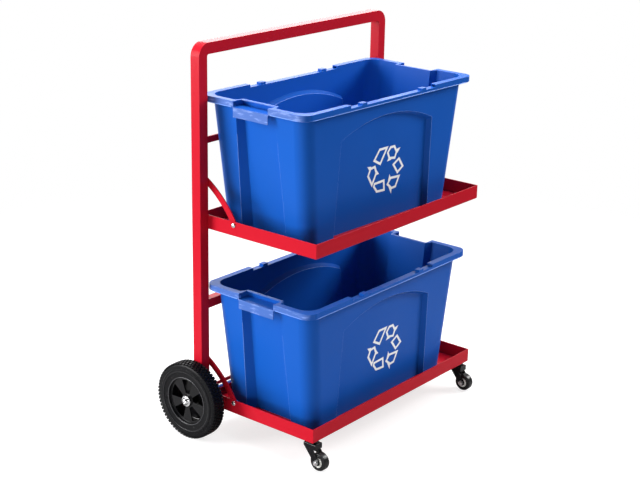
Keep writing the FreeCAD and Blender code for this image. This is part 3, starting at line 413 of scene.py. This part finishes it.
def hub_back(hand, side):
    """Ribbed disc inside the hub, behind its windows, so that they show dark."""
    node = hand + "_hub"
    centre = middle(node)
    centre.x = side * HUB_WALL_AT
    axis = Vector((side, 0, 0))
    bm = bmesh.new()
    section = [(6.0, 12.5), (8.5, 12.5), (8.5, 40.0), (7.5, 62.6), (5.5, 62.6), (6.0, 40.0)]
    spun(bm, section, axis, centre, 60)
    for i in range(HUB_RIBS):
        rib = bmesh.ops.create_cube(bm, size=1.0)["verts"]
        bmesh.ops.scale(bm, verts=rib, vec=(3.0 * MM, 2.4 * MM, 49 * MM))
        bmesh.ops.translate(bm, verts=rib, vec=(side * 4.6 * MM, 0, 37.5 * MM))
        spoke = Matrix.Rotation(math.tau * i / HUB_RIBS, 3, "X")
        bmesh.ops.rotate(bm, verts=rib, cent=(0, 0, 0), matrix=spoke)
        bmesh.ops.translate(bm, verts=rib, vec=centre)
    return hang(hand + "_hub_inner_wall", bm, body_of(node), "hub_plastic")


def moulded_lips(hand, side):
    """Shiny moulded beads round the hub's rim and round the tyre's wall; their grey, paler than the black
    beside them, is a painted highlight on top of their real gloss.
    """
    for part, across, out, thick in (("hub", 18.9, 67.3, 1.0), ("tyre", 20.8, 85.2, 0.65)):
        node = hand + "_" + part
        centre = middle(hand + "_tyre")
        bm = bmesh.new()
        turns = [math.tau * i / 8 for i in range(8)]
        ring = [(across + thick * math.cos(a), out + thick * math.sin(a)) for a in turns]
        spun(bm, ring, Vector((side, 0, 0)), centre, 96)
        hang(node + "_lip", bm, body_of(node), slot_of(node), look=LIP_GLOSS_AND_HIGHLIGHT, crease=80)


def axle_cap(hand, side):
    """Pressed cap: rolled rim, dome and a dimple in the middle."""
    node = hand + "_axle_cap"
    centre = middle(node)
    centre.x = side * CAP_AT
    axis = Vector((side, 0, 0))
    outline = [(0.2, 0.0), (0.2, 6.6), (0.0, 11.4), (0.5, 12.0), (1.1, 11.7), (1.3, 10.2), (2.4, 9.6),
               (4.4, 8.6), (6.4, 6.8), (7.6, 5.0), (8.0, 4.0), (7.7, 3.3), (6.4, 2.8), (5.4, 1.8), (5.0, 0.0)]
    bm = bmesh.new()
    spun(bm, outline, axis, centre, 48, closed=False)
    return hang(hand + "_axle_cap_pressed", bm, body_of(node), "chrome_cap", [node], crease=60)


def caster_walls(hand):
    """Black side walls of the caster tread, which lap over the white core."""
    node = hand + "_caster_tread"
    bm = bmesh.new()
    for side in (-1, 1):
        spun(bm, [(10.6, 14.9), (11.0, 14.6), (11.35, 15.0), (11.35, 18.9), (11.0, 19.4), (10.6, 18.9)],
             Vector((side, 0, 0)), middle(node), 48)
    hang(node + "_walls", bm, body_of(node), "caster_tread", crease=60)


def brace_bolts():
    """Domed bolts through the tray flanges, each on a painted washer."""
    steel, washers = bmesh.new(), bmesh.new()
    low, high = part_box("brace_bolts")
    y = (low[1] + high[1]) / 2
    for side in (-1, 1):
        for z in (low[2] + BOLT_HEAD_HALF * MM, high[2] - BOLT_HEAD_HALF * MM):
            spot, axis = Vector((side * BOLT_SEAT, y, z)), Vector((side, 0, 0))
            bolt = [(-14.0, 0), (-14.0, 3.6), (-13.6, 4.0), (1.1, 4.0), (1.1, 6.4), (1.8, 6.6),
                    (2.8, 6.0), (3.7, 4.6), (4.3, 2.6), (4.6, 0)]
            spun(steel, bolt, axis, spot, 24, closed=False)
            washer = [(0, 4.1), (0, 8.5), (0.8, 8.5), (1.1, 8.1), (1.1, 4.1)]
            spun(washers, washer, axis, spot, 28)
    hang("brace_bolt_domes", steel, "cart", "bright_steel", ["brace_bolts"])
    hang("brace_bolt_washers", washers, "cart", "red_paint")


brace_bolts()
for hand, side in (("left", -1), ("right", 1)):
    rear_tyre(hand, side)
    hub_back(hand, side)
    moulded_lips(hand, side)
    axle_cap(hand, side)
    caster_walls(hand)

# ------------------------------------------------------------------- CAD pieces
EDGE = {"handle_frame": 2.2, "upper_crossbar": 1.2, "lower_crossbar": 0.7, "rear_axle": 0.3,
        "axle_washers": 0.3, "upright_plugs": 0.8, "brace_nuts": 0.4}
for deck in ("lower", "upper"):
    EDGE.update({deck + "_shelf": 0.9, deck + "_bin": 0.7, deck + "_left_brace": 0.5,
                 deck + "_right_brace": 0.5})
for hand in ("left", "right"):
    EDGE.update({hand + "_hub": 0.8, hand + "_hub_bush": 0.3})
    EDGE.update({hand + "_caster_fork": 0.7, hand + "_caster_core": 0.4, hand + "_caster_bolt": 0.35,
                 hand + "_caster_nut": 0.35, hand + "_caster_race": 0.4, hand + "_caster_stem": 0.3,
                 hand + "_caster_stem_nut": 0.4, hand + "_caster_tread": 0.5})
for node in frame["nodes"]:
    if node in EDGE:
        softened(node, EDGE[node])


RIM_FOOT = 15.5                                  # from the rim's top down to its lower edge


def box_turn(node, size):
    """The upper box stands a little askew in its tray."""
    return Matrix.Rotation(math.radians(-1.5 if node == "upper_bin" else 0), size, "Z")


def rim_bead(node):
    """Small round bead along the lower edge of the rim, broken at the two grips, coloured pale as a painted
    highlight line.
    """
    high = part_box(node)[1]
    place = Matrix.Translation(Vector((*middle(node).xy, high[2] - RIM_FOOT * MM))) @ box_turn(node, 4)
    half_x, half_y, corner, grip, r = 355.6, 183.6, 36.0, 67.0, 1.2
    bm = bmesh.new()
    for end in (0, 1):
        made = bmesh.ops.create_circle(bm, cap_ends=True, cap_tris=False, segments=8, radius=r * MM)["verts"]
        bmesh.ops.rotate(bm, verts=made, cent=(0, 0, 0), matrix=Matrix.Rotation(math.tau / 4, 3, "X"))
        bmesh.ops.translate(bm, verts=made, vec=Vector((-half_x, -grip, 0)) * MM)
        faces = [f for f in bm.faces if f.is_valid and all(v in made for v in f.verts)]
        moves = (("run", (0, grip - half_y + corner)), ("bend", (corner - half_x, corner - half_y)),
                 ("run", (2 * half_x - 2 * corner, 0)), ("bend", (half_x - corner, corner - half_y)),
                 ("run", (0, half_y - corner - grip)))
        begun = set(bm.verts) - set(made)
        for step, (kind, (x, y)) in enumerate(moves):
            last = faces
            if kind == "run":
                out = bmesh.ops.extrude_face_region(bm, geom=last)["geom"]
                faces = [g for g in out if isinstance(g, bmesh.types.BMFace)]
                front = list({v for f in faces for v in f.verts})
                bmesh.ops.translate(bm, verts=front, vec=Vector((x, y, 0)) * MM)
            else:
                out = bmesh.ops.spin(bm, geom=last, cent=Vector((x, y, 0)) * MM, axis=(0, 0, 1),
                                     dvec=(0, 0, 0), angle=math.tau / 4, steps=8,
                                     use_duplicate=False)["geom_last"]
                faces = [g for g in out if isinstance(g, bmesh.types.BMFace)]
            if step:
                bmesh.ops.delete(bm, geom=[f for f in last if f.is_valid], context="FACES_ONLY")
        mine = [v for v in bm.verts if v not in begun]
        if not end:
            bmesh.ops.rotate(bm, verts=mine, cent=(0, 0, 0), matrix=Matrix.Rotation(math.pi, 3, "Z"))
    bm.transform(place)
    name = node.replace("bin", "box") + "_rim_bead"
    hang(name, bm, body_of(node), "blue_plastic", look=BLUE_EDGE_HIGHLIGHT, crease=80)


for node in ("upper_bin", "lower_bin"):
    rim_bead(node)

# ---------------------------------------------------------------- recycling sign
ARROWS = (
    ((5, 61), (-34, 61), (-58, 30), (-25, 13)),
    ((0, 43), (13, 59), (33, 59), (46, 39), (38, 19), (10, 23)),
    ((56, 21), (27, 5), (52, -26), (79, -9)),
    ((66, -31), (23, -29), (7, -48), (30, -66), (50, -64)),
    ((-3, -30), (-48, -32), (-51, -43), (-35, -62), (2, -64)),
    ((-47, 17), (-69, 14), (-79, -8), (-56, -42), (-37, -5)),
)
BARBS = (
    ((42, 46), (58, 48), (46, 34)), ((10, 29), (3, 18), (21, 20)), ((18, -20), (24, -31), (13, -40)),
    ((31, -79), (31, -64), (17, -56)), ((-81, 19), (-64, 17), (-71, 6)), ((-29, -10), (-42, 5), (-40, -11)),
)
STROKE, FILM = 6.6, 0.25
BARB_LIFT, FILM_LIFT = 0.02, 0.02
SIGN_ACROSS, SIGN_DOWN, PROBE = 18, -209.5, 80   # from the box's middle and the rim's top; a step to aim by


def recycling_sign(node):
    """Three chasing arrows in white outline, as a film on the front arch panel."""
    bm = bmesh.new()
    for shape in ARROWS:
        face = bm.faces.new([bm.verts.new((x * MM, y * MM, 0)) for x, y in shape])
        bm.normal_update()
        bmesh.ops.inset_region(bm, faces=[face], thickness=STROKE * MM, use_boundary=True,
                               use_even_offset=True)
        bmesh.ops.delete(bm, geom=[face], context="FACES_KEEP_BOUNDARY")
    for shape in BARBS:
        bm.faces.new([bm.verts.new((x * MM, y * MM, BARB_LIFT * MM)) for x, y in shape])
    bmesh.ops.recalc_face_normals(bm, faces=bm.faces)
    flat = list(bm.faces)
    raised = bmesh.ops.extrude_face_region(bm, geom=flat, use_keep_orig=True)["geom"]
    top = [g for g in raised if isinstance(g, bmesh.types.BMVert)]
    bmesh.ops.translate(bm, verts=top, vec=(0, 0, FILM * MM))
    skin = bmesh.new()
    skin.from_mesh(frame["nodes"][node].data)
    wall = BVHTree.FromBMesh(skin)
    skin.free()
    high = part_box(node)[1]
    turn = box_turn(node, 3)
    heart = middle(node)
    inward = turn @ Vector((0, 1, 0))

    def on_wall(x, z):
        start = Vector((heart.x, heart.y, 0)) + turn @ Vector((x * MM, -0.6, 0))
        start += Vector((0, 0, high[2] + z * MM))
        return wall.ray_cast(start, inward)[0]

    spot = on_wall(SIGN_ACROSS, SIGN_DOWN)
    across = (on_wall(SIGN_ACROSS + PROBE, SIGN_DOWN) - spot).normalized()
    up = (on_wall(SIGN_ACROSS, SIGN_DOWN + PROBE) - spot).normalized()
    out = across.cross(up).normalized()
    up = out.cross(across)
    spot += out * FILM_LIFT * MM
    bm.transform(Matrix((
        (across.x, up.x, out.x, spot.x), (across.y, up.y, out.y, spot.y),
        (across.z, up.z, out.z, spot.z), (0, 0, 0, 1))))
    name = node.replace("bin", "box") + "_recycling_sign"
    return hang(name, bm, body_of(node), "nylon", look=SIGN_WHITE)


for node in ("upper_bin", "lower_bin"):
    recycling_sign(node)


# --------------------------------------------------------------------- camera
CAMERA_TURN = (51.06, 18.47, 1.11)               # degrees of yaw, pitch and roll
CAMERA_AT = Vector((-2.9055, -2.2988, 1.7354))
LENS = 78.58
yaw, pitch, roll = (math.radians(a) for a in CAMERA_TURN)
ahead = Vector((math.sin(yaw) * math.cos(pitch), math.cos(yaw) * math.cos(pitch), -math.sin(pitch)))
level_right = Vector((math.cos(yaw), -math.sin(yaw), 0))
level_up = level_right.cross(ahead)
cam_right = level_right * math.cos(roll) + level_up * math.sin(roll)
cam_up = level_up * math.cos(roll) - level_right * math.sin(roll)
cam_data = bpy.data.cameras.new("camera")
cam = bpy.data.objects.new("camera", cam_data)
bpy.context.scene.collection.objects.link(cam)
cam.matrix_world = Matrix((
    (cam_right.x, cam_up.x, -ahead.x, CAMERA_AT.x),
    (cam_right.y, cam_up.y, -ahead.y, CAMERA_AT.y),
    (cam_right.z, cam_up.z, -ahead.z, CAMERA_AT.z),
    (0, 0, 0, 1)))
cam_data.lens = LENS
cam_data.sensor_width = 36
cam_data.clip_end = 60
bpy.context.scene.camera = cam


# --------------------------------------------------------------- stage, light
FLOOR_LIT, FLOOR_SEEN, FLOOR_LIFT = 0.48, 0.40, 0.74     # grey in bounces, grey in view, glow in view
FLOOR_SIZE, FADE_FROM, FADE_TO = 3.2, 1.0, 2.3


def floor_paper():
    """Pale paper that fades out to the white surround."""
    m = bpy.data.materials.new("floor_paper")
    m.use_nodes = True
    t = m.node_tree
    b = t.nodes["Principled BSDF"]
    b.inputs["Roughness"].default_value = 0.9
    b.inputs["Specular IOR Level"].default_value = 0.1
    b.inputs["Emission Color"].default_value = (1, 1, 1, 1)
    away = t.nodes.new("ShaderNodeVectorMath")
    away.operation = "LENGTH"
    join(t, t.nodes.new("ShaderNodeTexCoord").outputs["Object"], away.inputs[0])
    ray = t.nodes.new("ShaderNodeLightPath").outputs["Is Camera Ray"]
    grey = t.nodes.new("ShaderNodeCombineColor")
    for socket in grey.inputs:
        join(t, ranged(t, ray, 0, 1, FLOOR_LIT, FLOOR_SEEN), socket)
    join(t, grey.outputs[0], b.inputs["Base Color"])
    join(t, mathed(t, "MULTIPLY", ray, FLOOR_LIFT), b.inputs["Emission Strength"])
    mix = t.nodes.new("ShaderNodeMixShader")
    join(t, ranged(t, away.outputs["Value"], FADE_FROM, FADE_TO, 0, 1), mix.inputs[0])
    join(t, b.outputs[0], mix.inputs[1])
    join(t, t.nodes.new("ShaderNodeBsdfTransparent").outputs[0], mix.inputs[2])
    join(t, mix.outputs[0], t.nodes["Material Output"].inputs["Surface"])
    return m


bm = bmesh.new()
bmesh.ops.create_circle(bm, cap_ends=True, cap_tris=False, segments=96, radius=FLOOR_SIZE)
me = bpy.data.meshes.new("floor")
bm.to_mesh(me)
bm.free()
floor = bpy.data.objects.new("floor", me)
bpy.context.scene.collection.objects.link(floor)
me.materials.append(floor_paper())

# The room is white behind the cart and dark on the near side, as a studio is.
AMBIENT, ROOM_DARK, ROOM_BRIGHT = 0.28, 0.10, 0.85
world = bpy.data.worlds.new("studio")
bpy.context.scene.world = world
world.use_nodes = True
wt = world.node_tree
bg = wt.nodes["Background"]
bg.inputs["Color"].default_value = (1, 1, 1, 1)
path = wt.nodes.new("ShaderNodeLightPath")
mirrored = mathed(wt, "MAXIMUM", path.outputs["Is Glossy Ray"], path.outputs["Is Transmission Ray"])
towards = wt.nodes.new("ShaderNodeVectorMath")
towards.operation = "DOT_PRODUCT"
towards.inputs[1].default_value = (0.45, 0.85, 0.50)
join(wt, wt.nodes.new("ShaderNodeTexCoord").outputs["Generated"], towards.inputs[0])
room = ranged(wt, towards.outputs["Value"], 0.0, 0.7, ROOM_DARK, ROOM_BRIGHT)
plain = mathed(wt, "MULTIPLY", mathed(wt, "SUBTRACT", 1, mirrored), AMBIENT)
unseen = mathed(wt, "ADD", plain, mathed(wt, "MULTIPLY", mirrored, room))
lighting = mathed(wt, "MULTIPLY", mathed(wt, "SUBTRACT", 1, path.outputs["Is Camera Ray"]), unseen)
join(wt, mathed(wt, "ADD", lighting, path.outputs["Is Camera Ray"]), bg.inputs["Strength"])


def softbox(name, place, aim, size, power):
    d = bpy.data.lights.new(name, "AREA")
    d.shape = "RECTANGLE"
    d.size, d.size_y = size
    d.energy = power
    o = bpy.data.objects.new(name, d)
    bpy.context.scene.collection.objects.link(o)
    o.location = place
    o.rotation_euler = (Vector(aim) - Vector(place)).to_track_quat("-Z", "Y").to_euler()


softbox("left_box", (-3.1, 2.0, 1.5), (0, 0, 0.5), (1.8, 2.4), 176)
softbox("right_box", (2.9, -1.75, 2.35), (0, 0, 0.5), (1.6, 1.3), 122)
softbox("top_box", (0.3, 0.5, 3.5), (0, 0, 0.5), (2.4, 2.4), 130)
softbox("low_box", (-2.7, -0.7, 0.35), (0, 0, 0.25), (1.6, 0.5), 15)
softbox("back_box", (1.9, 2.3, 1.9), (0, 0, 0.8), (2.2, 1.0), 30)

bpy.context.scene.view_settings.view_transform = "Standard"
